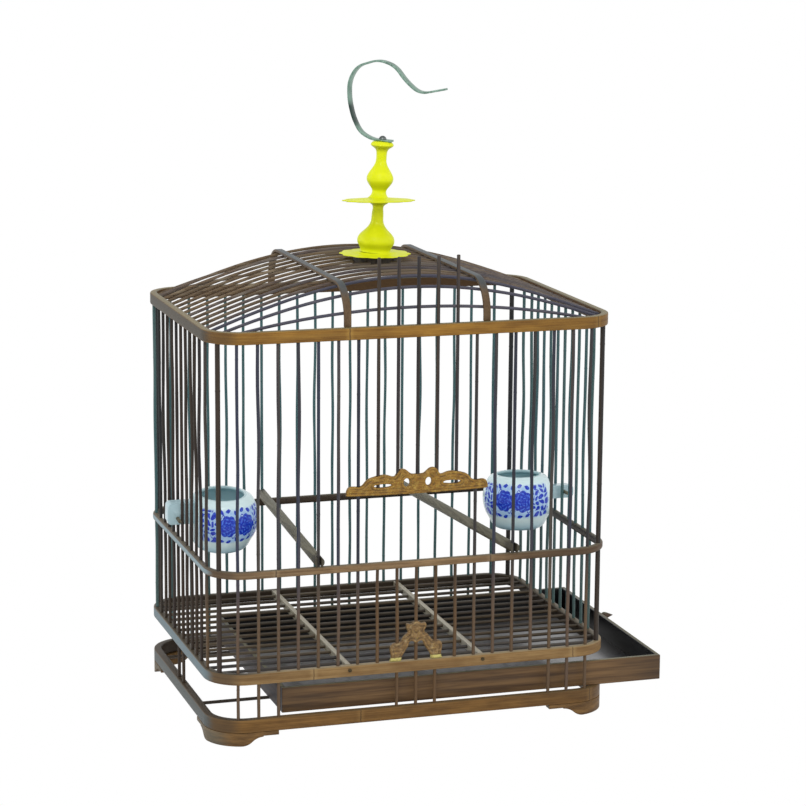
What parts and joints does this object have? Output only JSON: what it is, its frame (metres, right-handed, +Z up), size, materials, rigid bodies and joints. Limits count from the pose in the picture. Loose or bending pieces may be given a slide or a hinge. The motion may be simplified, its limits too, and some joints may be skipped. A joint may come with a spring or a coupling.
{
  "type": "bird cage",
  "caption": "Bamboo bird cage with a rounded plan, sliding door, pull-out tray, perches, porcelain cups, arched rod roof and a hook that turns.",
  "frame": {"origin": "middle of the four feet, on the surface the cage stands on", "axes": "+X along the cage towards the tray's pull end, -Y towards the door, +Z up"},
  "size_m": [0.449, 0.2716, 0.5862],
  "materials": {
    "hoop_bamboo": "varnished split bamboo",
    "bar_bamboo": "dark stained bamboo",
    "rod_bamboo": "dark stained bamboo",
    "pale_wood": "bare light wood",
    "perch_wood": "worn wood",
    "tray_wood": "varnished wood, dark inside",
    "dark_wood": "dark varnished wood",
    "carved_wood": "carved and varnished wood",
    "yellow_lacquer": "glossy",
    "steel": "brushed",
    "porcelain": "glazed white with a blue floral band"
  },
  "bodies": {
    "cage": {"base_ring": "hoop_bamboo", "foot_front_left": "hoop_bamboo", "foot_front_right": "hoop_bamboo", "foot_back_left": "hoop_bamboo", "foot_back_right": "hoop_bamboo", "tray_runners": "bar_bamboo", "floor_ring": "hoop_bamboo", "floor_rods": "rod_bamboo", "floor_batten_left": "pale_wood", "floor_batten_right": "pale_wood", "batten_nails": "steel", "mid_ring": "hoop_bamboo", "top_ring": "hoop_bamboo", "front_bars": "bar_bamboo", "front_lower_bars": "bar_bamboo", "back_bars": "bar_bamboo", "left_bars": "bar_bamboo", "right_bars": "bar_bamboo", "corner_bars": "bar_bamboo", "corner_posts": "bar_bamboo", "roof_rods": "rod_bamboo", "roof_rib_left": "rod_bamboo", "roof_rib_right": "rod_bamboo", "roof_boss": "dark_wood", "finial_plate": "yellow_lacquer", "finial_lower": "yellow_lacquer", "finial_disc": "yellow_lacquer", "finial_upper": "yellow_lacquer", "finial_rod": "steel", "finial_washer": "steel", "finial_nut": "steel", "floor_ornament": "carved_wood"},
    "door": {"door_rail": "carved_wood", "door_bars": "bar_bamboo"},
    "tray": {"tray_front": "tray_wood", "tray_back": "tray_wood", "tray_left": "tray_wood", "tray_right": "tray_wood", "tray_bottom": "tray_wood", "tray_knob": "dark_wood"},
    "hook": {"hook": "steel"},
    "left_perch": {"perch_left": "perch_wood"},
    "right_perch": {"perch_right": "perch_wood"},
    "left_cup": {"cup_left": "porcelain"},
    "left_cup_peg": {"cup_peg_left": "perch_wood"},
    "right_cup": {"cup_right": "porcelain"},
    "right_cup_peg": {"cup_peg_right": "perch_wood"}
  },
  "joints": [
    {"name": "door_slide", "type": "slide", "parent": "cage", "child": "door", "axis": [0, 0, 1], "range_m": [-0.0597, 0.1]},
    {"name": "tray_slide", "type": "slide", "parent": "cage", "child": "tray", "axis": [1, 0, 0], "range_m": [-0.0525, 0.12]},
    {"name": "hook_turn", "type": "hinge", "parent": "cage", "child": "hook", "pos_m": [0.00667, 0, 0.51413], "axis": [0.0645, 0, 0.9979], "continuous": true},
    {"name": "left_perch_lift", "type": "slide", "parent": "cage", "child": "left_perch", "axis": [0, 0, 1], "range_m": [0, 0.18]},
    {"name": "right_perch_lift", "type": "slide", "parent": "cage", "child": "right_perch", "axis": [0, 0, 1], "range_m": [0, 0.18]},
    {"name": "left_cup_slide", "type": "slide", "parent": "cage", "child": "left_cup", "axis": [0, 0, 1], "range_m": [-0.012, 0.15]},
    {"name": "left_peg_pull", "type": "slide", "parent": "left_cup", "child": "left_cup_peg", "axis": [0, 0.9936, 0.1132], "range_m": [0, 0.022]},
    {"name": "right_cup_slide", "type": "slide", "parent": "cage", "child": "right_cup", "axis": [0, 0, 1], "range_m": [-0.012, 0.15]},
    {"name": "right_peg_pull", "type": "slide", "parent": "right_cup", "child": "right_cup_peg", "axis": [0, 0.9992, -0.0401], "range_m": [0, 0.022]}
  ]
}
